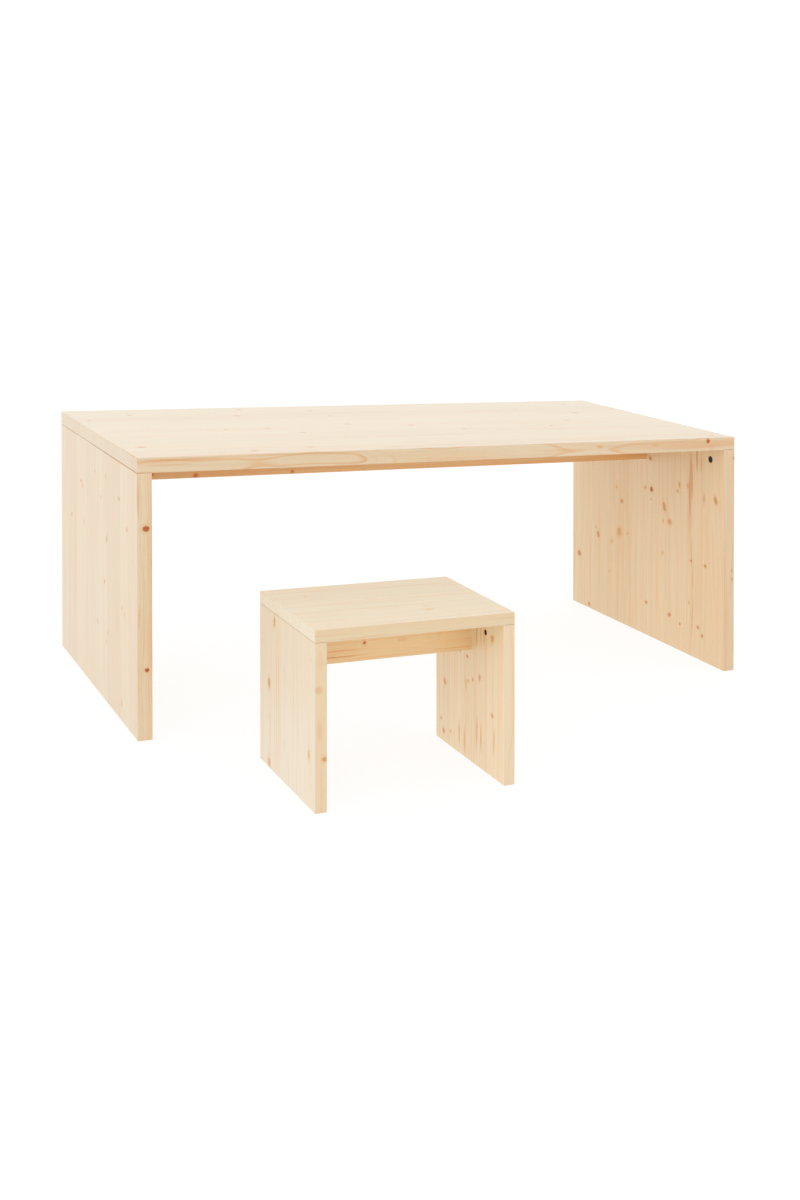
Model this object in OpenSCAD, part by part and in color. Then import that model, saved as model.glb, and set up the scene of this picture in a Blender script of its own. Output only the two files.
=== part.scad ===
// A child's table and stool in solid softwood: flat edge-glued boards, butt joined,
// each with one rail under the top, held by hidden cam fittings and wooden dowels.
// The frame is X to the right, Y to the back and Z up, with the origin on the floor
// at the middle of the whole set. The stool stands in front of the table.

/* [Table] */
// Length of the table top
table_length = 1300; // [1100:10:1500]
// Depth of the table top
table_depth = 600; // [500:10:800]
// Height of the table
table_height = 500; // [460:10:560]
// Thickness of the table's boards
table_board = 27; // [25:0.5:32]
// Height of the table's rail
table_rail_height = 67; // [64:1:100]

/* [Stool] */
// Length of the stool's seat
stool_length = 360; // [300:5:420]
// Depth of the stool's seat
stool_depth = 250; // [220:5:300]
// Height of the stool
stool_height = 290; // [240:5:330]
// Thickness of the stool's boards
stool_board = 21; // [20:0.5:25]
// Height of the stool's rail
stool_rail_height = 73; // [70:1:90]

/* [Layout] */
// How far the stool stands in front of the table, middle to middle
stool_forward = 570; // [500:5:700]
// How far the stool stands to the left of the table's middle
stool_left = 295; // [0:5:300]

/* [Edges] */
// Width of the small bevel on every edge
edge_ease = 1; // [0.5:0.1:1.5]

/* [Table fittings] */
// Diameter of the bores for the table's cams
table_cam_bore = 15; // [13:0.5:15]
// Distance of a table cam below the top board
table_cam_drop = 28; // [26:1:32]
// Distance of a table cam from the front or back edge of its panel
table_cam_inset = 48; // [40:1:70]

/* [Stool fittings] */
// Diameter of the bores for the stool's cams
stool_cam_bore = 10; // [9:0.5:12]
// Distance of a stool cam below the seat board
stool_cam_drop = 29; // [26:1:32]
// Distance of a stool cam from the front or back edge of its panel
stool_cam_inset = 64; // [40:1:70]
// Distance of a rail cam from the end of the stool's rail
stool_rail_cam_in = 26; // [24:1:40]

/* [Dowels] */
// Diameter of the wooden dowels
dowel_d = 8; // [6:1:8]
// Length of the table's dowels
table_dowel_length = 40; // [30:1:44]
// Length of the stool's dowels
stool_dowel_length = 30; // [24:1:34]

/* [Hidden] */
$fn = 64;

wood = "#e6c698";
shaded_wood = "#d9b27c";
dowel_wood = "#dcc39a";
zinc = "#5c5c5e";
steel = "#9fa2a6";

// The set's footprint is centred on the origin.
table_y = (stool_forward + stool_depth / 2 - table_depth / 2) / 2;
stool_y = table_y - stool_forward;

// Places under the table top and under the seat.
table_under = table_height - table_board;
stool_under = stool_height - stool_board;
table_cam_z = table_under - table_cam_drop;
stool_cam_z = stool_under - stool_cam_drop;
table_inner = table_length / 2 - table_board;
stool_inner = stool_length / 2 - stool_board;
table_cam_y = table_depth / 2 - table_cam_inset;
stool_cam_y = stool_depth / 2 - stool_cam_inset;
table_rail_cam_in = table_cam_drop + 6;

// Dowels lie between the cams and below the rail's bolts.
table_dowel_y = table_cam_y - 64;
stool_dowel_y = stool_cam_y - 32;
table_rail_dowel_z = table_cam_z - 22;
stool_rail_dowel_z = stool_cam_z - 26;
table_top_dowel_x = table_length / 4;
dowel_gap = 0.5;
dowel_fit = 0.02;
dowel_bevel = 0.8;

// A cam and its bolt's head follow the bore: these are for a 15 mm cam. Low and high
// are measured along the bolt from the cam's axis, and back is below the bolt's line.
nominal_cam = 15;
head_r = 2.6;
head_low = 1.6;
head_high = 4.6;
neck_r = 1.6;
shank_low = 9.5;
cam_back = 6.5;
recess_depth = 2.6;
recess_width = 1.6;
recess_length = 9;
groove_lead = 90;
slot_lead = 24;

// Clearances of a cam, whatever its size.
cam_clear = 0.15;
cam_fit = 0.08;
cam_recess = 0.6;
bore_clear = 0.4;

// Bolts: a screwed end in the board above and a plain shank in the panel's edge.
screw_r = 2.5;
screw_fit = 0.02;
screw_length = 11;
screw_bore = 12;
table_shank_r = 3.6;
stool_shank_r = 3.1;
shank_clear = 0.4;

// A board with a small bevel on its edges. A butted one meets another board on top,
// so the edges there stay sharp.
module bevelled(w, h, butted) {
    low = edge_ease;
    high = butted ? 0 : edge_ease;
    polygon([
        [-w / 2 + low, 0], [w / 2 - low, 0], [w / 2, low], [w / 2, h - high],
        [w / 2 - high, h], [-w / 2 + high, h], [-w / 2, h - high], [-w / 2, low]
    ]);
}

module board(size, butted = false) {
    intersection() {
        translate([0, size.y / 2, 0])
            rotate([90, 0, 0])
                linear_extrude(size.y)
                    bevelled(size.x, size.z, butted);
        translate([-size.x / 2, 0, 0])
            rotate([90, 0, 90])
                linear_extrude(size.x)
                    bevelled(size.y, size.z, butted);
        translate([0, -size.y / 2, 0])
            linear_extrude(size.z)
                bevelled(size.x, size.y, false);
    }
}

// A rail between two panels: its long edges are bevelled and its ends are square.
module rail_board(length, thickness, height) {
    translate([-length / 2, 0, 0])
        rotate([90, 0, 90])
            linear_extrude(length)
                bevelled(thickness, height, true);
}

// A cam whose bolt comes along +X and whose mouth faces +Z. The bolt's line crosses
// the cam's axis at the origin, half a board below the mouth. The head's groove runs
// from the bolt round to an opening half a turn on.
module cam(bore, board_t) {
    k = bore / nominal_cam;
    r = bore / 2 - cam_fit;
    groove_w = (head_r * k + cam_clear) * 2;
    slot_w = (neck_r * k + cam_clear) * 2;
    groove_out = norm([head_r, head_high]) * k + cam_clear;
    bottom = -cam_back * k;
    face = board_t / 2 - cam_recess;
    color(zinc)
        difference() {
            translate([0, 0, bottom])
                cylinder(h = face - bottom, r = r);
            half_ring(head_low * k - cam_clear, groove_out, groove_w, groove_lead);
            half_ring(groove_out - 0.5 * k, r + 1, slot_w, slot_lead);
            rotate([0, -90, 0])
                cylinder(h = r + 1, d = groove_w);
            translate([0, 0, face])
                cross_recess(k);
        }
}

// The part of a ring from -X round through -Y to +X and a little past it.
module half_ring(r_in, r_out, width, lead) {
    rotate([0, 0, -180])
        rotate_extrude(angle = 180 + lead)
            translate([r_in, -width / 2])
                square([r_out - r_in, width]);
}

module cross_recess(k) {
    for (turn = [45, 135])
        rotate([0, 0, turn])
            translate([-recess_length * k / 2, -recess_width * k / 2, -recess_depth * k])
                cube([recess_length * k, recess_width * k, recess_depth * k + 1]);
}

// The blind bore that holds a cam.
module cam_hole(bore, board_t) {
    bottom = -cam_back * bore / nominal_cam - bore_clear;
    translate([0, 0, bottom])
        cylinder(h = board_t / 2 - bottom + 1, d = bore);
}

// A bolt along +X. Its head is by the cam's axis, its shank ends at the joint, which
// is drop away, and its screwed end goes on into the next board.
module bolt(bore, drop, shank_r) {
    k = bore / nominal_cam;
    color(steel)
        rotate([0, 90, 0]) {
            translate([0, 0, head_low * k])
                cylinder(h = (head_high - head_low) * k, r = head_r * k);
            translate([0, 0, head_low * k])
                cylinder(h = (shank_low - head_low) * k + 1, r = neck_r * k);
            translate([0, 0, shank_low * k])
                cylinder(h = drop - shank_low * k, r = shank_r);
            translate([0, 0, drop - 1])
                cylinder(h = screw_length + 1, r = screw_r - screw_fit);
        }
}

// The bore of a bolt's shank, from the cam's axis to the joint.
module shank_hole(drop, shank_r) {
    rotate([0, 90, 0])
        cylinder(h = drop + 1, r = shank_r + shank_clear);
}

// The bore of a bolt's screwed end, from the joint into the next board.
module screw_hole(drop) {
    translate([drop - 1, 0, 0])
        rotate([0, 90, 0])
            cylinder(h = screw_bore + 1, r = screw_r);
}

// A dowel along +X with its middle at the joint, and the bore that it fills.
module dowel(length) {
    r = dowel_d / 2;
    end = length / 2;
    color(dowel_wood)
        rotate([0, 90, 0])
            rotate_extrude()
                polygon([
                    [0, -end], [r - dowel_bevel, -end], [r - dowel_fit, dowel_bevel - end],
                    [r - dowel_fit, end - dowel_bevel], [r - dowel_bevel, end], [0, end]
                ]);
}

module dowel_hole(length) {
    translate([-length / 2 - dowel_gap, 0, 0])
        rotate([0, 90, 0])
            cylinder(h = length + 2 * dowel_gap, d = dowel_d);
}

// The two pieces of furniture in the set's frame.
module table_place() {
    translate([0, table_y, 0])
        children();
}

module stool_place() {
    translate([-stool_left, stool_y, 0])
        children();
}

// Fittings in a side panel: the bolt points up and the mouth faces the other panel.
// Side is -1 on the left and 1 on the right.
module upright(side) {
    rotate([0, -90, 0])
        rotate([side < 0 ? 180 : 0, 0, 0])
            children();
}

// Fittings in a rail: the bolt points at the panel on that side, and the mouth faces
// back for turn = 1 and to the front for turn = -1.
module sideways(side, turn) {
    rotate([0, 0, side < 0 ? 180 : 0])
        rotate([-90 * side * turn, 0, 0])
            children();
}

module at_table_panel(side, end) {
    translate([side * (table_length - table_board) / 2, end * table_cam_y, table_cam_z])
        upright(side)
            children();
}

module at_stool_panel(side, end) {
    translate([side * (stool_length - stool_board) / 2, end * stool_cam_y, stool_cam_z])
        upright(side)
            children();
}

module at_table_rail(side) {
    translate([side * (table_inner - table_rail_cam_in), 0, table_cam_z])
        sideways(side, 1)
            children();
}

module at_stool_rail(side) {
    translate([side * (stool_inner - stool_rail_cam_in), 0, stool_cam_z])
        sideways(side, -1)
            children();
}

// Dowels: upright ones between a panel and the board on it, and level ones between
// a rail and a panel.
module at_table_dowel(side, end) {
    translate([side * (table_length - table_board) / 2, end * table_dowel_y, table_under])
        upright(side)
            children();
}

module at_stool_dowel(side, end) {
    translate([side * (stool_length - stool_board) / 2, end * stool_dowel_y, stool_under])
        upright(side)
            children();
}

module at_rail_top_dowel(side) {
    translate([side * table_top_dowel_x, 0, table_under])
        upright(side)
            children();
}

module table_top() {
    color(wood)
        table_place()
            difference() {
                translate([0, 0, table_under])
                    board([table_length, table_depth, table_board]);
                for (side = [-1, 1]) {
                    for (end = [-1, 1]) {
                        at_table_panel(side, end)
                            screw_hole(table_cam_drop);
                        at_table_dowel(side, end)
                            dowel_hole(table_dowel_length);
                    }
                    at_rail_top_dowel(side)
                        dowel_hole(table_dowel_length);
                }
            }
}

module table_panel(side) {
    color(wood)
        table_place()
            difference() {
                translate([side * (table_length - table_board) / 2, 0, 0])
                    board([table_board, table_depth, table_under], butted = true);
                for (end = [-1, 1]) {
                    at_table_panel(side, end) {
                        cam_hole(table_cam_bore, table_board);
                        shank_hole(table_cam_drop, table_shank_r);
                    }
                    at_table_dowel(side, end)
                        dowel_hole(table_dowel_length);
                }
                at_table_rail(side)
                    screw_hole(table_rail_cam_in);
                translate([side * table_inner, 0, table_rail_dowel_z])
                    dowel_hole(table_dowel_length);
            }
}

module table_left_panel() table_panel(-1);
module table_right_panel() table_panel(1);

module table_rail() {
    color(shaded_wood)
        table_place()
            difference() {
                translate([0, 0, table_under - table_rail_height])
                    rail_board(2 * table_inner, table_board, table_rail_height);
                for (side = [-1, 1]) {
                    at_table_rail(side) {
                        cam_hole(table_cam_bore, table_board);
                        shank_hole(table_rail_cam_in, table_shank_r);
                    }
                    translate([side * table_inner, 0, table_rail_dowel_z])
                        dowel_hole(table_dowel_length);
                    at_rail_top_dowel(side)
                        dowel_hole(table_dowel_length);
                }
            }
}

module table_cam(side, end) {
    table_place()
        at_table_panel(side, end)
            cam(table_cam_bore, table_board);
}

module table_left_front_cam() table_cam(-1, -1);
module table_left_back_cam() table_cam(-1, 1);
module table_right_front_cam() table_cam(1, -1);
module table_right_back_cam() table_cam(1, 1);

module table_rail_cam(side) {
    table_place()
        at_table_rail(side)
            cam(table_cam_bore, table_board);
}

module table_rail_left_cam() table_rail_cam(-1);
module table_rail_right_cam() table_rail_cam(1);

module table_bolts(side) {
    table_place()
        for (end = [-1, 1])
            at_table_panel(side, end)
                bolt(table_cam_bore, table_cam_drop, table_shank_r);
}

module table_left_bolts() table_bolts(-1);
module table_right_bolts() table_bolts(1);

module table_rail_bolts() {
    table_place()
        for (side = [-1, 1])
            at_table_rail(side)
                bolt(table_cam_bore, table_rail_cam_in, table_shank_r);
}

module table_dowels(side) {
    table_place()
        for (end = [-1, 1])
            at_table_dowel(side, end)
                dowel(table_dowel_length);
}

module table_left_dowels() table_dowels(-1);
module table_right_dowels() table_dowels(1);

module table_rail_dowels() {
    table_place()
        for (side = [-1, 1])
            translate([side * table_inner, 0, table_rail_dowel_z])
                dowel(table_dowel_length);
}

module table_rail_top_dowels() {
    table_place()
        for (side = [-1, 1])
            at_rail_top_dowel(side)
                dowel(table_dowel_length);
}

module stool_seat() {
    color(wood)
        stool_place()
            difference() {
                translate([0, 0, stool_under])
                    board([stool_length, stool_depth, stool_board]);
                for (side = [-1, 1], end = [-1, 1]) {
                    at_stool_panel(side, end)
                        screw_hole(stool_cam_drop);
                    at_stool_dowel(side, end)
                        dowel_hole(stool_dowel_length);
                }
            }
}

module stool_panel(side) {
    color(wood)
        stool_place()
            difference() {
                translate([side * (stool_length - stool_board) / 2, 0, 0])
                    board([stool_board, stool_depth, stool_under], butted = true);
                for (end = [-1, 1]) {
                    at_stool_panel(side, end) {
                        cam_hole(stool_cam_bore, stool_board);
                        shank_hole(stool_cam_drop, stool_shank_r);
                    }
                    at_stool_dowel(side, end)
                        dowel_hole(stool_dowel_length);
                }
                at_stool_rail(side)
                    screw_hole(stool_rail_cam_in);
                translate([side * stool_inner, 0, stool_rail_dowel_z])
                    dowel_hole(stool_dowel_length);
            }
}

module stool_left_panel() stool_panel(-1);
module stool_right_panel() stool_panel(1);

module stool_rail() {
    color(shaded_wood)
        stool_place()
            difference() {
                translate([0, 0, stool_under - stool_rail_height])
                    rail_board(2 * stool_inner, stool_board, stool_rail_height);
                for (side = [-1, 1]) {
                    at_stool_rail(side) {
                        cam_hole(stool_cam_bore, stool_board);
                        shank_hole(stool_rail_cam_in, stool_shank_r);
                    }
                    translate([side * stool_inner, 0, stool_rail_dowel_z])
                        dowel_hole(stool_dowel_length);
                }
            }
}

module stool_cam(side, end) {
    stool_place()
        at_stool_panel(side, end)
            cam(stool_cam_bore, stool_board);
}

module stool_left_front_cam() stool_cam(-1, -1);
module stool_left_back_cam() stool_cam(-1, 1);
module stool_right_front_cam() stool_cam(1, -1);
module stool_right_back_cam() stool_cam(1, 1);

module stool_rail_cam(side) {
    stool_place()
        at_stool_rail(side)
            cam(stool_cam_bore, stool_board);
}

module stool_rail_left_cam() stool_rail_cam(-1);
module stool_rail_right_cam() stool_rail_cam(1);

module stool_bolts(side) {
    stool_place()
        for (end = [-1, 1])
            at_stool_panel(side, end)
                bolt(stool_cam_bore, stool_cam_drop, stool_shank_r);
}

module stool_left_bolts() stool_bolts(-1);
module stool_right_bolts() stool_bolts(1);

module stool_rail_bolts() {
    stool_place()
        for (side = [-1, 1])
            at_stool_rail(side)
                bolt(stool_cam_bore, stool_rail_cam_in, stool_shank_r);
}

module stool_dowels(side) {
    stool_place()
        for (end = [-1, 1])
            at_stool_dowel(side, end)
                dowel(stool_dowel_length);
}

module stool_left_dowels() stool_dowels(-1);
module stool_right_dowels() stool_dowels(1);

module stool_rail_dowels() {
    stool_place()
        for (side = [-1, 1])
            translate([side * stool_inner, 0, stool_rail_dowel_z])
                dowel(stool_dowel_length);
}

table_top();
table_left_panel();
table_right_panel();
table_rail();
table_left_front_cam();
table_left_back_cam();
table_right_front_cam();
table_right_back_cam();
table_rail_left_cam();
table_rail_right_cam();
table_left_bolts();
table_right_bolts();
table_rail_bolts();
table_left_dowels();
table_right_dowels();
table_rail_dowels();
table_rail_top_dowels();
stool_seat();
stool_left_panel();
stool_right_panel();
stool_rail();
stool_left_front_cam();
stool_left_back_cam();
stool_right_front_cam();
stool_right_back_cam();
stool_rail_left_cam();
stool_rail_right_cam();
stool_left_bolts();
stool_right_bolts();
stool_rail_bolts();
stool_left_dowels();
stool_right_dowels();
stool_rail_dowels();
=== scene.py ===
import math
import random

import bmesh
import bpy
from mathutils import Matrix, Vector


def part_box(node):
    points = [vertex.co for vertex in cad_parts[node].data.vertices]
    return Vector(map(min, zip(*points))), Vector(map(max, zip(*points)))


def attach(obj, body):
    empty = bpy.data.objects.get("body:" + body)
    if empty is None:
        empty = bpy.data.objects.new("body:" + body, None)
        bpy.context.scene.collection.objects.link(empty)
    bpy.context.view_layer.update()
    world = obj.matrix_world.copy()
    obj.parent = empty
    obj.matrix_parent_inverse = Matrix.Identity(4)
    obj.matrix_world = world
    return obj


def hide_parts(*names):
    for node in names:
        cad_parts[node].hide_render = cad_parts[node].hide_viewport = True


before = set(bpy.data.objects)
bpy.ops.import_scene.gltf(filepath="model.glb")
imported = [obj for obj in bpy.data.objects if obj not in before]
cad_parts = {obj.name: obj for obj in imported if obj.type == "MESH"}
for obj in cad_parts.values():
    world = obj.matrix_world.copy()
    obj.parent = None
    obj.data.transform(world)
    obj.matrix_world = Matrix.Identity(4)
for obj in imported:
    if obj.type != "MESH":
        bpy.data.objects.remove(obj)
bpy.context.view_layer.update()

# ---------------------------------------------------------------- viewpoint
# The set is seen standing in front of the table's left end, looking a little to
# the right. The lens is shifted so that upright edges stay upright, and the sheet
# of film leans a little, so what lies further right sits slightly lower.
EYE = (-1.335, -2.619, 0.944)
TURN_RIGHT = 0.4434
TILT_DOWN = 0.018
LENS_MM = 44.06
LENS_SHIFT = -0.2984
FILM_LEAN = 0.040

camera = bpy.data.objects.new("viewpoint", bpy.data.cameras.new("viewpoint"))
bpy.context.scene.collection.objects.link(camera)
camera.data.lens = LENS_MM
camera.data.shift_y = LENS_SHIFT
camera.location = EYE
camera.rotation_euler = (math.pi / 2 - TILT_DOWN, 0, -TURN_RIGHT)
bpy.context.scene.camera = camera

tripod = bpy.data.objects.new("tripod", None)
bpy.context.scene.collection.objects.link(tripod)
bpy.context.view_layer.update()
standing = camera.matrix_world.copy()
lean = Matrix.Identity(4)
lean[1][0] = FILM_LEAN
camera.parent = tripod
camera.matrix_parent_inverse = standing @ lean @ standing.inverted()

# ------------------------------------------------------------------- studio
# A white paper floor that runs out past the light, a white surround that is a
# little brighter behind the table, and one soft light above the left front.
PAPER_HALF = 30
PAPER_WHITE = 0.18
PAPER_TOOTH = 0.01
PAPER_GLOW = 0.85
SURROUND = 1.0
BACKDROP = 1.22
BACKDROP_EDGE = (0.3, 0.9)
LIGHT_PLACE = (-2.6, -2.2, 3.0)
LIGHT_AIM = (0, 0.2, 0.3)
LIGHT_WIDTH = 2.6
LIGHT_POWER = 16


def make_node(tree, kind, inputs=None, **settings):
    """A node with its settings made, and each input linked or given its value."""
    made = tree.nodes.new(kind)
    for name, value in settings.items():
        setattr(made, name, value)
    for key, value in (inputs or {}).items():
        if isinstance(value, bpy.types.NodeSocket):
            tree.links.new(value, made.inputs[key])
        else:
            made.inputs[key].default_value = value
    return made


def new_material(name):
    """A material with an empty tree and its shader linked to its output."""
    material = bpy.data.materials.new(name)
    material.use_nodes = True
    tree = material.node_tree
    tree.nodes.clear()
    shader = make_node(tree, "ShaderNodeBsdfPrincipled")
    output = make_node(tree, "ShaderNodeOutputMaterial")
    tree.links.new(shader.outputs["BSDF"], output.inputs["Surface"])
    return material, tree, shader


bpy.context.scene.view_settings.view_transform = "Standard"
world = bpy.data.worlds.new("white_surround")
world.use_nodes = True
bpy.context.scene.world = world
toward = make_node(world.node_tree, "ShaderNodeTexCoord").outputs["Generated"]
toward_axes = make_node(world.node_tree, "ShaderNodeSeparateXYZ", {0: toward})
surround_light = make_node(
    world.node_tree,
    "ShaderNodeMapRange",
    {
        "Value": toward_axes.outputs["Y"],
        "From Min": BACKDROP_EDGE[0],
        "From Max": BACKDROP_EDGE[1],
        "To Min": SURROUND,
        "To Max": BACKDROP,
    },
)
background = world.node_tree.nodes["Background"]
background.inputs["Color"].default_value = (1, 1, 1, 1)
world.node_tree.links.new(surround_light.outputs["Result"], background.inputs["Strength"])

paper, paper_tree, paper_shader = new_material("floor_paper")
paper_place = make_node(paper_tree, "ShaderNodeTexCoord").outputs["Object"]
tooth = make_node(
    paper_tree, "ShaderNodeTexNoise", {"Vector": paper_place, "Scale": 260.0, "Detail": 3.0}
)
paper_tone = make_node(
    paper_tree,
    "ShaderNodeMapRange",
    {"Value": tooth.outputs["Fac"], "To Min": PAPER_WHITE - PAPER_TOOTH, "To Max": PAPER_WHITE},
)
paper_tree.links.new(paper_tone.outputs["Result"], paper_shader.inputs["Base Color"])
paper_shader.inputs["Roughness"].default_value = 0.9
paper_shader.inputs["Specular IOR Level"].default_value = 0.1
paper_shader.inputs["Emission Color"].default_value = (1, 1, 1, 1)
paper_shader.inputs["Emission Strength"].default_value = PAPER_GLOW

sheet = bmesh.new()
bmesh.ops.create_grid(sheet, x_segments=4, y_segments=4, size=PAPER_HALF)
floor = bpy.data.objects.new("paper_floor", bpy.data.meshes.new("paper_floor"))
sheet.to_mesh(floor.data)
sheet.free()
floor.data.materials.append(paper)
bpy.context.scene.collection.objects.link(floor)

softbox = bpy.data.objects.new("softbox", bpy.data.lights.new("softbox", "AREA"))
softbox.data.shape = "SQUARE"
softbox.data.size = LIGHT_WIDTH
softbox.data.energy = LIGHT_POWER
softbox.location = LIGHT_PLACE
aim = Vector(LIGHT_AIM) - softbox.location
softbox.rotation_euler = aim.to_track_quat("-Z", "Y").to_euler()
bpy.context.scene.collection.objects.link(softbox)

# ---------------------------------------------------------------- table top
# The top is a spruce board of long staves glued edge to edge, sanded and sealed
# with a matt clear lacquer. It lies on the two side panels, flush all round, and
# is held by cam bolts and dowels from below, so no fixing shows on it.
MM = 0.001
SOFTEN_MM = 0.35


def shaped_board(node):
    """The design's board with its flats joined and its bevels rounded."""
    shape = bmesh.new()
    shape.from_mesh(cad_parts[node].data)
    bmesh.ops.remove_doubles(shape, verts=shape.verts, dist=0.01 * MM)
    bmesh.ops.dissolve_limit(
        shape, angle_limit=math.radians(1), verts=shape.verts, edges=shape.edges
    )
    arrises = [
        edge
        for edge in shape.edges
        if len(edge.link_faces) == 2
        and math.radians(35) < edge.calc_face_angle() < math.radians(65)
    ]
    bmesh.ops.bevel(
        shape,
        geom=arrises,
        offset=SOFTEN_MM * MM,
        affect="EDGES",
        segments=2,
        profile=0.5,
        material=-1,
        clamp_overlap=True,
    )
    for edge in shape.edges:
        bent = len(edge.link_faces) == 2 and edge.calc_face_angle() > math.radians(32)
        edge.smooth = not bent
    for face in shape.faces:
        face.smooth = True
        face.material_index = 0
    mesh = bpy.data.meshes.new(node + "_board")
    shape.to_mesh(mesh)
    shape.free()
    if "custom_normal" in mesh.attributes:
        mesh.attributes.remove(mesh.attributes["custom_normal"])
    return mesh


def calculate(tree, operation, *values):
    """A Math node's result."""
    return make_node(
        tree, "ShaderNodeMath", dict(enumerate(values)), operation=operation
    ).outputs[0]


def rise(tree, value, start, end, low=0.0, high=1.0):
    """Goes smoothly from low to high as value goes from start to end."""
    return make_node(
        tree,
        "ShaderNodeMapRange",
        {"Value": value, "From Min": start, "From Max": end, "To Min": low, "To Max": high},
        interpolation_type="SMOOTHSTEP",
    ).outputs["Result"]


def blend_colour(tree, share, first, second, mode="MIX"):
    """Two colours mixed, or one laid on the other. A Mix node's colours are its inputs 6
    and 7, and its output 2."""
    return make_node(
        tree,
        "ShaderNodeMix",
        {0: share, 6: first, 7: second},
        data_type="RGBA",
        blend_type=mode,
    ).outputs[2]


def noise(tree, place, detail=2.0):
    """A noise node that takes its scale from the place it is given."""
    return make_node(
        tree, "ShaderNodeTexNoise", {"Vector": place, "Scale": 1.0, "Detail": detail}
    )


def stretched(tree, grain, pitch, shift):
    """The place along, across and through the board, each divided by its pitch in mm."""
    return make_node(
        tree,
        "ShaderNodeCombineXYZ",
        {
            0: calculate(tree, "DIVIDE", grain[0], pitch[0]),
            1: calculate(tree, "MULTIPLY_ADD", grain[1], 1 / pitch[1], shift),
            2: calculate(tree, "DIVIDE", grain[2], pitch[2]),
        },
    ).outputs[0]


def board_size(node, order):
    """A board's length, width and thickness in mm. Order names the axes along its grain,
    across its staves and through it."""
    low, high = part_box(node)
    return [(high - low)["xyz".index(axis)] / MM for axis in order]


def board_grain(tree, node, order):
    """The point's place in mm from the board's corner: along, across and through."""
    spot = make_node(tree, "ShaderNodeTexCoord").outputs["Object"]
    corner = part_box(node)[0]
    moved = make_node(tree, "ShaderNodeVectorMath", {0: spot, 1: corner}, operation="SUBTRACT")
    in_mm = make_node(
        tree, "ShaderNodeVectorMath", {0: moved.outputs[0], "Scale": 1 / MM}, operation="SCALE"
    )
    axes = make_node(tree, "ShaderNodeSeparateXYZ", {0: in_mm.outputs[0]})
    return [axes.outputs["xyz".index(axis)] for axis in order]


# A stave's log has its middle within these spans, in mm, across and through.
HEART_ACROSS = 2000
HEART_THROUGH = 400


def stave_numbers(tree, across, width, staves):
    """A ramp whose steps are the glue lines. Each step's colour holds where the middle of
    the stave's log lies, as shares of the two spans, then the stave's tone, and how
    strong its rings are."""
    ramp = make_node(tree, "ShaderNodeValToRGB", {0: calculate(tree, "DIVIDE", across, width)})
    ramp.color_ramp.interpolation = "CONSTANT"
    ramp.color_ramp.elements.remove(ramp.color_ramp.elements[1])
    edge = 0.0
    for count, (stave_width, beside, below, tone, figure) in enumerate(staves):
        middle = edge + stave_width / 2 + beside
        if count:
            step = ramp.color_ramp.elements.new(edge / width)
        else:
            step = ramp.color_ramp.elements[0]
        step.color = (0.5 + middle / HEART_ACROSS, 0.5 + below / HEART_THROUGH, tone, figure)
        edge += stave_width
    return ramp


def spots(tree, place, marks, soft):
    """How near each point is to the marks, and how strong the nearest one is. A mark is
    a place and its three radii in mm, along, across and through, a lean and a strength."""
    nearest, strongest = None, None
    for middle, radii, lean_angle, strength in marks:
        local = make_node(
            tree,
            "ShaderNodeMapping",
            {"Vector": place, "Location": middle, "Rotation": (0, 0, lean_angle), "Scale": radii},
            vector_type="TEXTURE",
        )
        length = make_node(
            tree, "ShaderNodeVectorMath", {0: local.outputs[0]}, operation="LENGTH"
        ).outputs["Value"]
        mask = rise(tree, length, soft[0], soft[1], 0.0, strength)
        if nearest is None:
            nearest, strongest = length, mask
        else:
            nearest = calculate(tree, "MINIMUM", nearest, length)
            strongest = calculate(tree, "MAXIMUM", strongest, mask)
    return nearest, strongest


RAGGED_PITCH = (7, 5, 5)
KNOT_RAGGED_MM = 6.0
STREAK_AND_SEAM_RAGGED_MM = 2.0
KNOT_SOFT = (1.1, 0.75)
STREAK_AND_SEAM_SOFT = (1.0, 0.3)


def knots_streaks_and_seam_shade(tree, grain, knots, streaks_and_seam_shade, seed):
    """How near the nearest knot is, and how strong the knots and the streaks are. The
    streaks include the painted shadow lines along two seams. Each point is pulled aside a
    little first, which makes their outlines ragged."""
    place = make_node(tree, "ShaderNodeCombineXYZ", dict(enumerate(grain))).outputs[0]
    torn = noise(tree, stretched(tree, grain, RAGGED_PITCH, seed))
    pull = make_node(
        tree,
        "ShaderNodeVectorMath",
        {0: torn.outputs["Color"], 1: (0.5, 0.5, 0.5)},
        operation="SUBTRACT",
    ).outputs[0]

    def pulled(reach):
        return make_node(
            tree,
            "ShaderNodeVectorMath",
            {0: pull, 1: (reach, reach, 0), 2: place},
            operation="MULTIPLY_ADD",
        ).outputs[0]

    nearest, knot = spots(tree, pulled(KNOT_RAGGED_MM), knots, KNOT_SOFT)
    streak_and_seam_shade = spots(tree, pulled(STREAK_AND_SEAM_RAGGED_MM), streaks_and_seam_shade, STREAK_AND_SEAM_SOFT)[1]
    return nearest, knot, streak_and_seam_shade


# A year's ring is this wide. The log tapers, its middle wanders along the board, and
# the rings swing round each knot.
RING_MM = 2.4
RING_TAPER = 0.008
RING_SWING_MM = 3.4
WANDER_PITCH = (380, 9, 9)
WANDER_ACROSS_MM = 11
WANDER_THROUGH_MM = 8
RIPPLE_PITCH = (190, 14, 14)


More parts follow.
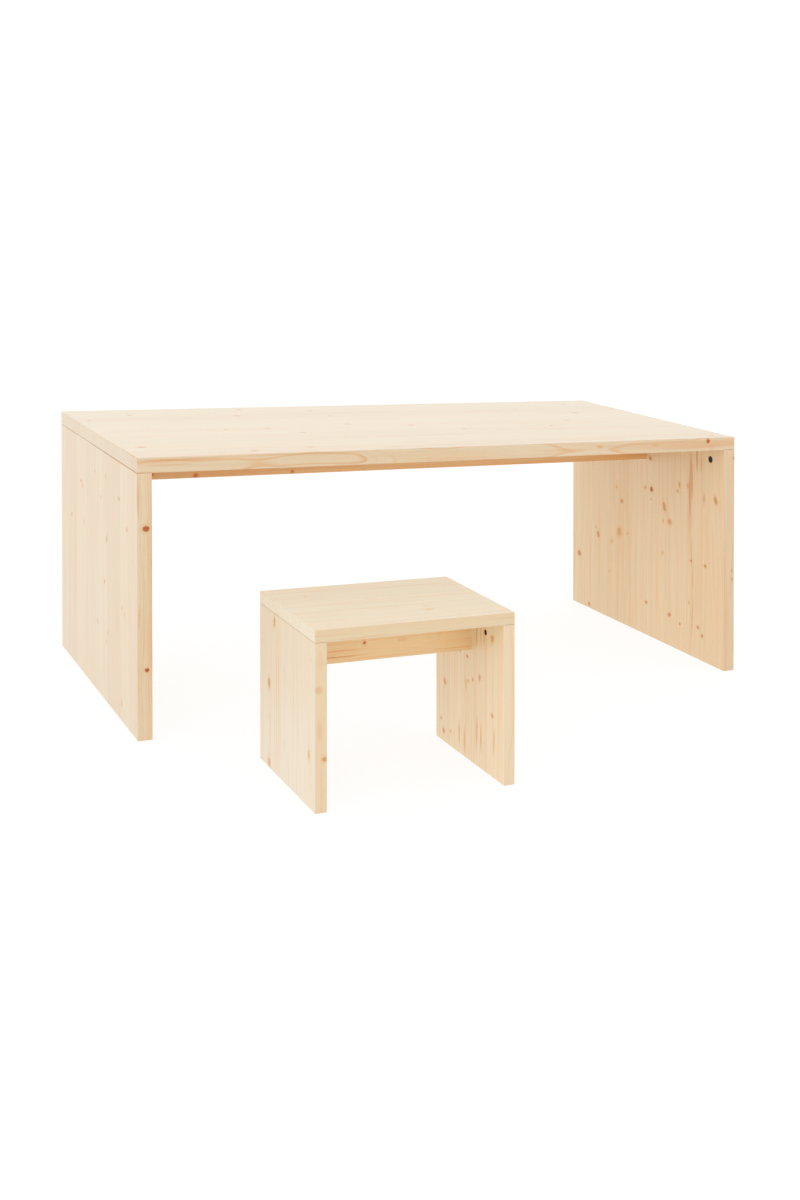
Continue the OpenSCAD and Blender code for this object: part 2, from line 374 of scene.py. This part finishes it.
def growth_rings(tree, grain, heart, nearest, figure, seed):
    """How much dark late wood shows, and the slow ripple that the rings follow."""
    along, across, through = grain
    drift = noise(tree, stretched(tree, (along, *heart), WANDER_PITCH, seed * 3.7), 1.5)
    wander = make_node(tree, "ShaderNodeSeparateColor", {0: drift.outputs["Color"]}).outputs
    shift = rise(tree, wander[0], 0.25, 0.75, -WANDER_ACROSS_MM, WANDER_ACROSS_MM)
    aside = calculate(tree, "ADD", calculate(tree, "SUBTRACT", across, heart[0]), shift)
    dip = rise(tree, wander[1], 0.25, 0.75, -WANDER_THROUGH_MM, WANDER_THROUGH_MM)
    deep = calculate(tree, "ADD", calculate(tree, "SUBTRACT", through, heart[1]), dip)
    squares = [calculate(tree, "MULTIPLY", part, part) for part in (aside, deep)]
    radius = calculate(tree, "SQRT", calculate(tree, "ADD", *squares))
    radius = calculate(tree, "MULTIPLY_ADD", along, RING_TAPER, radius)
    radius = calculate(tree, "ADD", radius, rise(tree, nearest, 2.6, 0.7, 0.0, RING_SWING_MM))

    # Late wood darkens slowly through a year, ends sharply, and is weak in some years.
    ripple = noise(tree, stretched(tree, grain, RIPPLE_PITCH, seed)).outputs["Fac"]
    year = calculate(tree, "MULTIPLY_ADD", radius, 1 / RING_MM, ripple)
    season = calculate(tree, "FRACT", year)
    late = calculate(
        tree, "MULTIPLY", rise(tree, season, 0.25, 0.86), rise(tree, season, 1.0, 0.9)
    )
    summer = make_node(
        tree,
        "ShaderNodeTexWhiteNoise",
        {"W": calculate(tree, "ADD", calculate(tree, "FLOOR", year), heart[0])},
        noise_dimensions="1D",
    ).outputs["Value"]
    late = calculate(tree, "MULTIPLY", late, rise(tree, summer, 0.3, 1.0, 0.05, 1.0))
    return calculate(tree, "MULTIPLY", late, figure), ripple


SAPWOOD = (0.770, 0.603, 0.400, 1)
LATEWOOD = (0.720, 0.390, 0.160, 1)
TONE_PITCH = (420, 13, 13)
FIBRE_PITCH = (22, 0.7, 0.7)
RESIN_PITCH = (260, 4.5, 4.5)
FLECK_PITCH = (9, 2.6, 2.6)


def plain_wood(tree, grain, late, tone, figure, seed):
    """The wood's colour without its knots, its brightness, and its fibres. Each stave has
    its own tone, with slow changes along it, short resin lines and small flecks."""
    slow = noise(tree, stretched(tree, grain, TONE_PITCH, seed * 1.3), 3.0).outputs["Fac"]
    fibre = noise(tree, stretched(tree, grain, FIBRE_PITCH, seed)).outputs["Fac"]
    resin = noise(tree, stretched(tree, grain, RESIN_PITCH, seed * 2), 3.0).outputs["Fac"]
    fleck = noise(tree, stretched(tree, grain, FLECK_PITCH, seed * 5)).outputs["Fac"]
    slow_tone = calculate(
        tree,
        "MULTIPLY",
        rise(tree, tone, 0.0, 1.0, 0.985, 1.015),
        rise(tree, slow, 0.3, 0.7, 0.985, 1.02),
    )
    brightness = calculate(
        tree, "MULTIPLY", slow_tone, rise(tree, fibre, 0.3, 0.7, 0.975, 1.02)
    )
    colour = blend_colour(tree, late, SAPWOOD, LATEWOOD)
    colour = blend_colour(tree, rise(tree, resin, 0.52, 0.70, 0.0, 0.42), colour, LATEWOOD)
    colour = blend_colour(tree, rise(tree, fleck, 0.66, 0.76, 0.0, 0.5), colour, LATEWOOD)
    warm = calculate(
        tree,
        "MULTIPLY_ADD",
        rise(tree, slow, 0.42, 0.72, 0.0, 0.36),
        rise(tree, figure, 0.0, 0.5, 0.25, 1.0),
        rise(tree, tone, 1.0, 0.0, 0.0, 0.08),
    )
    return blend_colour(tree, warm, colour, LATEWOOD), brightness, fibre


# The streaks' red also paints the shadow lines along two seams.
STREAK_AND_SEAM_SHADE_RED = (0.65, 0.290, 0.085, 1)
KNOT_PALE = (0.70, 0.430, 0.070, 1)
KNOT_RIM = (0.60, 0.245, 0.060, 1)
KNOT_HEART = (0.42, 0.085, 0.004, 1)


def marked_wood(tree, colour, nearest, knot, streak_and_seam_shade, ripple):
    """The wood with its red streaks, the painted seam shadows drawn in the same red, and its
    knots. A weak knot is pale, and a strong one has a dark rim and a dark heart, with late
    wood crowding round it."""
    # This share also lays on the painted seam shadows.
    streak_and_seam_shade_share = calculate(tree, "MULTIPLY", streak_and_seam_shade, rise(tree, ripple, 0.25, 0.6, 0.6, 1.0))
    colour = blend_colour(tree, streak_and_seam_shade_share, colour, STREAK_AND_SEAM_SHADE_RED)
    colour = blend_colour(tree, rise(tree, nearest, 2.2, 0.9, 0.0, 0.5), colour, LATEWOOD)
    inside = rise(tree, nearest, 0.6, 0.9)
    rim = calculate(tree, "MULTIPLY", inside, rise(tree, nearest, 1.1, 0.9))
    core = calculate(tree, "ADD", rise(tree, nearest, 0.5, 0.1, 0.0, 0.6), rim)
    knot_colour = blend_colour(tree, rise(tree, knot, 0.3, 0.6), KNOT_PALE, KNOT_RIM)
    heart_share = calculate(tree, "MULTIPLY_ADD", core, 0.3, rise(tree, knot, 0.7, 1.0))
    knot_colour = blend_colour(tree, heart_share, knot_colour, KNOT_HEART)
    return blend_colour(tree, rise(tree, knot, 0.0, 0.65), colour, knot_colour)


GLUE_LINE = (0.55, 0.36, 0.20, 1)
GLUE_HALF_MM = 0.25


def glued_wood(tree, colour, across, width, staves):
    """The wood with a thin darker line wherever one stave ends and the next begins."""
    sides = []
    for offset in (-GLUE_HALF_MM, GLUE_HALF_MM):
        beside = calculate(tree, "ADD", across, offset)
        stave = stave_numbers(tree, beside, width, staves).outputs["Color"]
        sides.append(make_node(tree, "ShaderNodeSeparateColor", {0: stave}).outputs[0])
    change = calculate(tree, "ABSOLUTE", calculate(tree, "SUBTRACT", *sides))
    return blend_colour(tree, rise(tree, change, 0.0005, 0.002, 0.0, 0.45), colour, GLUE_LINE)


def lacquer(tree, shader, fibre):
    """A thin clear coat. The fibres stand a little proud in it and break up its shine."""
    bump = make_node(
        tree, "ShaderNodeBump", {"Height": fibre, "Strength": 0.25, "Distance": 0.00025}
    )
    tree.links.new(bump.outputs[0], shader.inputs["Normal"])
    tree.links.new(rise(tree, fibre, 0.3, 0.7, 0.42, 0.56), shader.inputs["Roughness"])
    shader.inputs["Specular IOR Level"].default_value = 0.3
    shader.inputs["Coat Weight"].default_value = 0.8
    shader.inputs["Coat Roughness"].default_value = 0.3
    shader.inputs["Coat IOR"].default_value = 1.5


def spruce(name, node, order, staves, knots, streaks_and_seam_shade, tone_and_lighting, edge_tone_and_lighting, seed):
    """Lacquered spruce. A stave is its width in mm, where the middle of its log lies from
    its own middle and from the board's near face, its tone and how strong its rings are.
    The board's faces have one tint and its front edge has another. Each tint is partly
    the board's own tone and partly painted light and shade: it lightens a board or an edge
    that the lamp leaves too dark, and darkens one that it leaves too bright."""
    material, tree, shader = new_material(name)
    width = board_size(node, order)[1]
    grain = board_grain(tree, node, order)
    across = grain[1]

    stave = stave_numbers(tree, across, width, staves)
    split = make_node(tree, "ShaderNodeSeparateColor", {0: stave.outputs["Color"]}).outputs
    heart = (
        calculate(tree, "MULTIPLY_ADD", split[0], HEART_ACROSS, -HEART_ACROSS / 2),
        calculate(tree, "MULTIPLY_ADD", split[1], HEART_THROUGH, -HEART_THROUGH / 2),
    )
    tone, figure = split[2], stave.outputs["Alpha"]

    nearest, knot, streak_and_seam_shade = knots_streaks_and_seam_shade(tree, grain, knots, streaks_and_seam_shade, seed)
    late, ripple = growth_rings(tree, grain, heart, nearest, figure, seed)
    colour, brightness, fibre = plain_wood(tree, grain, late, tone, figure, seed)
    colour = marked_wood(tree, colour, nearest, knot, streak_and_seam_shade, ripple)

    # Painted light and shade: the faces and the front edge each get a tint that is partly the wood's
    # tone and partly stands in for how the light falls on this board.
    front = rise(tree, across, 0.7, 0.3)
    board_tone_and_lighting = blend_colour(tree, front, (*tone_and_lighting, 1), (*edge_tone_and_lighting, 1))
    colour = blend_colour(tree, 1.0, colour, board_tone_and_lighting, "MULTIPLY")
    colour = make_node(
        tree, "ShaderNodeVectorMath", {0: colour, "Scale": brightness}, operation="SCALE"
    ).outputs[0]
    colour = glued_wood(tree, colour, across, width, staves)
    tree.links.new(colour, shader.inputs["Base Color"])
    lacquer(tree, shader, fibre)
    return material


def put_board(piece_name, node, body, material):
    """Makes the board's object, with even shading, in place of the design's plain one."""
    piece = bpy.data.objects.new(piece_name, shaped_board(node))
    bpy.context.scene.collection.objects.link(piece)
    piece.data.materials.clear()
    piece.data.materials.append(material)
    even = piece.modifiers.new("even_shading", "WEIGHTED_NORMAL")
    even.keep_sharp = True
    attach(piece, body)
    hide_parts(node)
    return piece


BOARD_MIDDLE_MM = 13
NARROWEST_STAVE = 0.4


def cut_staves(node, order, average, seed, first):
    """Staves of varied width that fill the board, after the ones that are given. None is
    much narrower than the average, and each one's log lies above or below the board."""
    draw = random.Random(seed)
    staves = list(first)
    left = board_size(node, order)[1] - sum(stave[0] for stave in staves)
    while left > 0.5:
        wide = min(average * draw.uniform(0.7, 1.3), left)
        if left - wide < NARROWEST_STAVE * average:
            wide = left
        below = draw.choice((-1, 1)) * draw.uniform(20, 60) + BOARD_MIDDLE_MM
        beside = draw.choice((-1, 1)) * draw.uniform(40, 90)
        staves.append((wide, beside, below, draw.random(), draw.uniform(0.2, 0.5)))
        left -= wide
    return staves


FACE_MARK_DEPTH_MM = 13
EDGE_MARK_DEPTH_MM = 12


def on_face(level, marks):
    """Marks on a broad face, which lies at a level in mm from the board's near face:
    (along, across, half length, half width, lean, strength)."""
    return [
        ((along, across, level), (long, wide, FACE_MARK_DEPTH_MM), lean_angle, strength)
        for along, across, long, wide, lean_angle, strength in marks
    ]


def on_edge(marks):
    """Marks on the front edge: (along, through, half length, half width, strength)."""
    return [
        ((along, 0, through), (long, EDGE_MARK_DEPTH_MM, wide), 0, strength)
        for along, through, long, wide, strength in marks
    ]


KNOT_MARGIN_MM = 10


def chance_knots(node, order, side, count, seed, sizes=(2, 7), strengths=(0.3, 0.75)):
    """Small knots scattered over a board's near face (0) or far face (1), the same each
    time. Sizes are half widths in mm."""
    length, width, thickness = board_size(node, order)
    draw = random.Random(seed)
    marks = []
    for _ in range(count):
        size = draw.uniform(*sizes)
        marks.append(
            (
                draw.uniform(KNOT_MARGIN_MM, length - KNOT_MARGIN_MM),
                draw.uniform(KNOT_MARGIN_MM, width - KNOT_MARGIN_MM),
                size * draw.uniform(0.9, 1.5),
                size,
                draw.uniform(-0.5, 0.5),
                draw.uniform(*strengths),
            )
        )
    return on_face(side * thickness, marks)


TOP_FACE = board_size("table_top", "xyz")[2]
top_knots = (
    on_face(TOP_FACE, [(230, 35, 7, 5, 0, 0.6), (350, 55, 7, 4, 0, 0.55), (40, 115, 9, 6, 0, 0.6)])
    + on_edge([(1230, 20, 4.4, 4.8, 1.0), (960, 17, 5, 2.5, 0.3), (1095, 17, 5, 2, 0.35)])
    + chance_knots("table_top", "xyz", 1, 18, 6, (3.5, 5.5), (0.45, 0.6))
    + chance_knots("table_top", "xyz", 0, 14, 5)
)
top_streaks_and_seam_shade = on_face(TOP_FACE, [(345, 280, 60, 2.5, 0.02, 0.3), (260, 60, 40, 2, 0, 0.2)])
top_streaks_and_seam_shade += on_edge(
    [(1170, 14, 250, 15, 0.42), (80, 22, 120, 3.5, 0.6), (330, 24, 180, 2, 0.4), (60, 13, 60, 2, 0.4)]
)
# On the left end, a dark line along the upper arris, and a painted shadow line along the
# seam below, drawn with the streaks.
top_streaks_and_seam_shade += [((0, 60, TOP_FACE), (2.5, 130, 2), 0, 0.65), ((0, 130, 0), (3, 260, 2), 0, 0.5)]
top_staves = cut_staves(
    "table_top", "xyz", 78, 11, first=[(64, -6, 12, 0.35, 0.8), (83, 60, -50, 0.6, 0.3)]
)
put_board(
    "table_top_board",
    "table_top",
    "table",
    spruce(
        "spruce_table_top",
        "table_top",
        "xyz",
        top_staves,
        top_knots,
        top_streaks_and_seam_shade,
        # Both tints are partly the top's own tone and partly painted light, set so that the lit top
        # comes out at its colour.
        tone_and_lighting=(0.925, 0.985, 1.02),
        edge_tone_and_lighting=(0.965, 0.985, 1.0),
        seed=3,
    ),
)

# -------------------------------------------------------- table side panels
# Each side panel is a glued spruce board with its grain upright, butted under the
# end of the top and held by two 15 mm cams whose bores open on its inner face.
PANEL_HEIGHT = board_size("table_left_panel", "zyx")[0]
left_knots = (
    on_face(0, [(385, 420, 3.5, 6, 0, 0.5), (405, 125, 3.5, 5.5, 0, 0.5), (300, 505, 3.5, 6, 0, 0.5)])
    + on_edge([(375, 16, 5.6, 6.8, 0.93), (125, 17, 3.4, 4.4, 1.0)])
    + chance_knots("table_left_panel", "zyx", 0, 15, 12, (3, 5), (0.35, 0.5))
    + chance_knots("table_left_panel", "zyx", 1, 16, 8)
)
left_streaks_and_seam_shade = on_edge(
    [(220, 3, 30, 3, 0.3), (430, 2, 45, 3, 0.5), (350, 26, 130, 2, 0.5), (150, 26, 60, 2, 0.3)]
)
# A painted shadow line along the seam with the top, drawn with the streaks.
left_streaks_and_seam_shade += [((PANEL_HEIGHT, 130, 0), (2.5, 260, 3), 0, 0.6)]
put_board(
    "table_left_side",
    "table_left_panel",
    "table",
    spruce(
        "spruce_table_left",
        "table_left_panel",
        "zyx",
        cut_staves("table_left_panel", "zyx", 74, 21, first=[(58, 60, -45, 0.4, 0.5)]),
        left_knots,
        left_streaks_and_seam_shade,
        # Both tints are partly the panel's own tone and partly painted light, set so that the lit
        # panel comes out at its colour.
        tone_and_lighting=(0.975, 1.02, 1.055),
        edge_tone_and_lighting=(0.975, 1.015, 1.045),
        seed=7,
    ),
)

right_knots = on_face(
    0,
    [
        (340, 265, 6, 6, 0, 1.0), (290, 385, 4.5, 7, 0, 0.52), (310, 215, 11, 5, 0.35, 0.55),
        (280, 195, 6.5, 7.5, 0, 0.5), (215, 395, 11, 9, -0.4, 0.45), (190, 485, 8, 5, 0.2, 0.60),
        (125, 570, 7, 7, 0, 0.80), (210, 115, 3.5, 4, 0, 0.60), (210, 65, 4, 4, 0, 0.65),
        (10, 525, 4, 5, 0, 0.60), (75, 285, 4, 4.5, 0, 0.65), (70, 195, 4.5, 6, 0.3, 0.60),
        (60, 155, 3, 3, 0, 0.60), (70, 90, 4, 4, 0, 0.60), (55, 75, 4, 3.5, 0, 0.60),
        (355, 70, 9, 3, 0, 0.42), (360, 30, 9, 5, 0.4, 0.55), (410, 270, 4.5, 5, 0, 0.65),
        (340, 290, 4, 4, 0, 0.50), (355, 165, 3.5, 4, 0, 0.45),
    ],
) + on_edge([(215, 20, 3, 1.6, 0.5), (195, 21, 4, 1.6, 0.45), (455, 24, 3, 1.6, 0.6)])
right_knots += chance_knots("table_right_panel", "zyx", 0, 15, 13, (2, 4), (0.35, 0.5))
right_knots += chance_knots("table_right_panel", "zyx", 1, 16, 9)
right_streaks = on_face(
    0,
    [
        (395, 115, 70, 8, 0.03, 1.0), (350, 120, 75, 6, 0.02, 1.0), (300, 120, 45, 11, 0, 0.4),
        (440, 95, 40, 5, 0.02, 0.9), (235, 115, 50, 4, 0.05, 0.55), (170, 110, 45, 3, -0.05, 0.5),
        (430, 80, 26, 4, 0, 0.6), (90, 110, 60, 4, -0.06, 0.5),
    ],
) + on_edge([(250, 22, 90, 2, 0.25)])
right_staves = cut_staves(
    "table_right_panel", "zyx", 74, 33, first=[(52, 50, 70, 0.6, 0.4), (78, 60, -50, 0.5, 0.4)]
)
put_board(
    "table_right_side",
    "table_right_panel",
    "table",
    spruce(
        "spruce_table_right",
        "table_right_panel",
        "zyx",
        right_staves,
        right_knots,
        right_streaks,
        # The face tint is raised to paint in light where the top shades the panel, and the front edge
        # tint is lowered to paint shade on an edge that the lamp leaves too bright.
        tone_and_lighting=(1.045, 1.045, 1.0),
        edge_tone_and_lighting=(0.93, 0.90, 0.875),
        seed=12,
    ),
)

# --------------------------------------------------------------- table rail
# One spruce board on edge under the top, from panel to panel in the middle of the
# depth. It keeps the frame square. A cam near each end pulls it to the panel.
# The rail's tint is partly its own tone and partly painted shade: darker and more orange, as the rail
# is in the shade under the top.
RAIL_TONE_AND_SHADE = (1.03, 0.79, 0.52)
rail_knots = on_face(
    0, [(170, 5, 5, 4, 0, 0.75), (375, 5, 4, 3, 0, 0.65), (80, 10, 5, 4, 0, 0.60)]
) + chance_knots("table_rail", "xzy", 1, 8, 4)
put_board(
    "table_rail_board",
    "table_rail",
    "table",
    spruce(
        "spruce_table_rail",
        "table_rail",
        "xzy",
        [(67, 6, -24, 0.25, 0.8)],
        rail_knots,
        on_face(0, [(420, 10, 260, 2, 0, 0.5), (900, 20, 220, 3, 0, 0.4)]),
        tone_and_lighting=RAIL_TONE_AND_SHADE,
        edge_tone_and_lighting=RAIL_TONE_AND_SHADE,
        seed=15,
    ),
)

# --------------------------------------------------------------- stool seat
# The seat is the same glued spruce in a thinner board with its grain from side to
# side, flush with the two panels that it lies on, with no fixing through it.
SEAT_FACE = board_size("stool_seat", "xyz")[2]
seat_staves = cut_staves(
    "stool_seat",
    "xyz",
    80,
    41,
    first=[(94, 50, -70, 0.6, 0.12), (62, 60, 80, 0.7, 0.1), (94, -60, 70, 0.5, 0.14)],
)
put_board(
    "stool_seat_board",
    "stool_seat",
    "stool",
    spruce(
        "spruce_seat",
        "stool_seat",
        "xyz",
        seat_staves,
        on_face(SEAT_FACE, [(60, 190, 3, 3, 0, 0.3), (230, 60, 6, 3, 0, 0.25)])
        + chance_knots("stool_seat", "xyz", 0, 7, 14),
        on_face(SEAT_FACE, [(180, 120, 90, 2, 0, 0.2)]),
        # The face tint is far paler and cooler than the wood's tone: it paints in a lacquer sheen.
        # The edge tint is partly tone and partly painted light.
        tone_and_lighting=(1.08, 1.25, 1.47),
        edge_tone_and_lighting=(0.955, 0.965, 0.93),
        seed=22,
    ),
)

# -------------------------------------------------------- stool side panels
# Two upright boards, butted under the seat, each held to it by two 10 mm cams on
# the inner face. Their knots are small, and fine pitch lines run up the left one.
stool_left_knots = (
    on_face(
        0,
        [
            (255, 180, 10, 4, -0.2, 0.50), (145, 205, 9, 5, 0, 0.60), (85, 25, 8, 4, 0.1, 0.50),
            (10, 205, 8, 6, 0, 0.50),
        ],
    )
    + on_edge([(85, 16, 4, 4, 0.5)])
    + chance_knots("stool_left_panel", "zyx", 1, 7, 17)
)
stool_left_streaks = on_face(
    0,
    [
        (180, 130, 20, 3, 0, 0.3), (70, 200, 60, 3, 0, 0.2), (135, 170, 160, 1.6, 0, 0.55),
        (135, 160, 160, 1.3, 0, 0.4),
    ],
) + on_edge([(195, 7, 9, 9, 0.5), (130, 8, 24, 6, 0.3), (240, 10, 22, 6, 0.2)])
stool_left_staves = cut_staves(
    "stool_left_panel",
    "zyx",
    80,
    52,
    first=[(80, 60, 70, 0.6, 0.15), (76, 50, -80, 0.7, 0.15), (94, -60, 60, 0.5, 0.2)],
)
put_board(
    "stool_left_side",
    "stool_left_panel",
    "stool",
    spruce(
        "spruce_stool_left",
        "stool_left_panel",
        "zyx",
        stool_left_staves,
        stool_left_knots,
        stool_left_streaks,
        # Both tints are partly the panel's own tone and partly painted light: they lighten it where
        # the lamp brings too little light into the stool.
        tone_and_lighting=(1.04, 1.155, 1.32),
        edge_tone_and_lighting=(1.0, 1.0, 0.98),
        seed=31,
    ),
)

stool_right_knots = on_face(
    0,
    [
        (180, 130, 3, 3.5, 0, 0.80), (110, 215, 6, 4, 0.4, 0.55), (130, 135, 9, 2.5, 0.2, 0.40),
        (155, 85, 6, 3, 0, 0.50), (145, 110, 3, 2.5, 0, 0.50), (235, 40, 6, 5, 0, 0.50),
        (105, 40, 4, 3, 0, 0.55), (20, 220, 5, 4, 0, 0.75), (245, 105, 3, 5, 0, 0.50),
    ],
)
stool_right_knots += chance_knots("stool_right_panel", "zyx", 0, 5, 21, (2, 3.5), (0.4, 0.5))
stool_right_knots += chance_knots("stool_right_panel", "zyx", 1, 7, 19)
stool_right_streaks = on_face(
    0,
    [
        (230, 95, 28, 4, -0.08, 0.85), (235, 80, 28, 4, 0, 0.75), (235, 70, 24, 4, 0, 0.75),
        (35, 160, 32, 4, 0, 0.8), (30, 140, 34, 4, 0, 0.8), (60, 95, 36, 5, -0.06, 0.8),
        (55, 80, 34, 4, 0, 0.7), (60, 35, 34, 5, -0.05, 0.7),
    ],
)
put_board(
    "stool_right_side",
    "stool_right_panel",
    "stool",
    spruce(
        "spruce_stool_right",
        "stool_right_panel",
        "zyx",
        cut_staves("stool_right_panel", "zyx", 80, 63, first=[(60, 30, 50, 0.5, 0.35)]),
        stool_right_knots,
        stool_right_streaks,
        # Both tints lift the panel well past the wood's own tone: painted light that makes up for
        # light missing inside the stool.
        tone_and_lighting=(1.17, 1.26, 1.32),
        edge_tone_and_lighting=(1.03, 1.06, 1.09),
        seed=37,
    ),
)

# --------------------------------------------------------------- stool rail
# A short spruce board on edge under the seat, from panel to panel, in the middle of
# the depth. Its two cams open on its front face, which fine dark grain lines cross.
# The stool rail's tint is partly its own tone and partly painted shade: warmer and less blue, as the
# shade under the seat makes it.
STOOL_RAIL_TONE_AND_SHADE = (1.12, 1.015, 0.80)
put_board(
    "stool_rail_board",
    "stool_rail",
    "stool",
    spruce(
        "spruce_stool_rail",
        "stool_rail",
        "xzy",
        [(73, 60, -60, 0.5, 0.3)],
        on_face(0, [(115, 30, 3, 3, 0, 0.85)]) + chance_knots("stool_rail", "xzy", 1, 4, 6),
        on_face(
            0,
            [
                (185, 30, 14, 5, 0, 0.35), (165, 40, 18, 4, 0, 0.2), (60, 10, 80, 2.0, 0, 0.8),
                (60, 20, 70, 1.6, 0.01, 0.7), (150, 5, 140, 1.5, 0, 0.3),
            ],
        ),
        tone_and_lighting=STOOL_RAIL_TONE_AND_SHADE,
        edge_tone_and_lighting=STOOL_RAIL_TONE_AND_SHADE,
        seed=44,
    ),
)

# --------------------------------------------------------------------- cams
# Round cam locks of blackened zinc, with a cross recess for a screwdriver. They
# fit the bores in the panels and rails and grip the bolts' heads when turned.
CAM_BLACK = (0.045, 0.036, 0.028, 1)
CAM_WORN = (0.11, 0.09, 0.07, 1)
CAM_ARRIS_MM = 0.15


def ease_edges(piece, width_mm):
    """Joins the solid's faces and rounds its sharp edges."""
    joined = piece.modifiers.new("joined", "WELD")
    joined.merge_threshold = 0.005 * MM
    eased = piece.modifiers.new("eased", "BEVEL")
    eased.width = width_mm * MM
    eased.segments = 2
    eased.limit_method = "ANGLE"
    eased.angle_limit = math.radians(40)


def metal(name, dark, light, roughness, grain_scale):
    """Cast or turned metal: a mottled tone, worn paler in places, with a fine tooth."""
    material, tree, shader = new_material(name)
    place = make_node(tree, "ShaderNodeTexCoord").outputs["Object"]
    mottle = make_node(
        tree, "ShaderNodeTexNoise", {"Vector": place, "Scale": grain_scale, "Detail": 5.0}
    ).outputs["Fac"]
    colour = blend_colour(tree, rise(tree, mottle, 0.45, 0.75), dark, light)
    tree.links.new(colour, shader.inputs["Base Color"])
    dull = rise(tree, mottle, 0.3, 0.7, roughness, roughness - 0.15)
    tree.links.new(dull, shader.inputs["Roughness"])
    tooth_height = make_node(
        tree, "ShaderNodeBump", {"Height": mottle, "Strength": 0.2, "Distance": 0.0001}
    )
    tree.links.new(tooth_height.outputs[0], shader.inputs["Normal"])
    shader.inputs["Metallic"].default_value = 0.85
    return material


cam_zinc = metal("cam_black_zinc", CAM_BLACK, CAM_WORN, 0.5, 2600.0)
for name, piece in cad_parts.items():
    if name.endswith("_cam"):
        piece.data.materials.clear()
        piece.data.materials.append(cam_zinc)
        ease_edges(piece, CAM_ARRIS_MM)

# ---------------------------------------------------------- bolts and dowels
# Bright zinc-plated steel bolts join cam to board, and beech dowels beside them
# keep the boards in line. All of them are out of sight once the set is together.
ZINC_DULL = (0.62, 0.62, 0.60, 1)
ZINC_BRIGHT = (0.75, 0.74, 0.70, 1)
BEECH_PALE = (0.66, 0.43, 0.26, 1)
BEECH_FLECK = (0.44, 0.25, 0.13, 1)
PIN_ARRIS_MM = 0.2

bolt_steel = metal("bolt_zinc_plate", ZINC_DULL, ZINC_BRIGHT, 0.35, 600.0)

beech, beech_tree, beech_shader = new_material("dowel_beech")
beech_place = make_node(beech_tree, "ShaderNodeTexCoord").outputs["Object"]
fleck = make_node(
    beech_tree, "ShaderNodeTexNoise", {"Vector": beech_place, "Scale": 1400.0, "Detail": 3.0}
).outputs["Fac"]
beech_colour = blend_colour(
    beech_tree, rise(beech_tree, fleck, 0.52, 0.7), BEECH_PALE, BEECH_FLECK
)
beech_tree.links.new(beech_colour, beech_shader.inputs["Base Color"])
beech_shader.inputs["Roughness"].default_value = 0.6

for name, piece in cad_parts.items():
    if name.endswith("_bolts") or name.endswith("_dowels"):
        piece.data.materials.clear()
        piece.data.materials.append(bolt_steel if name.endswith("_bolts") else beech)
        ease_edges(piece, PIN_ARRIS_MM)
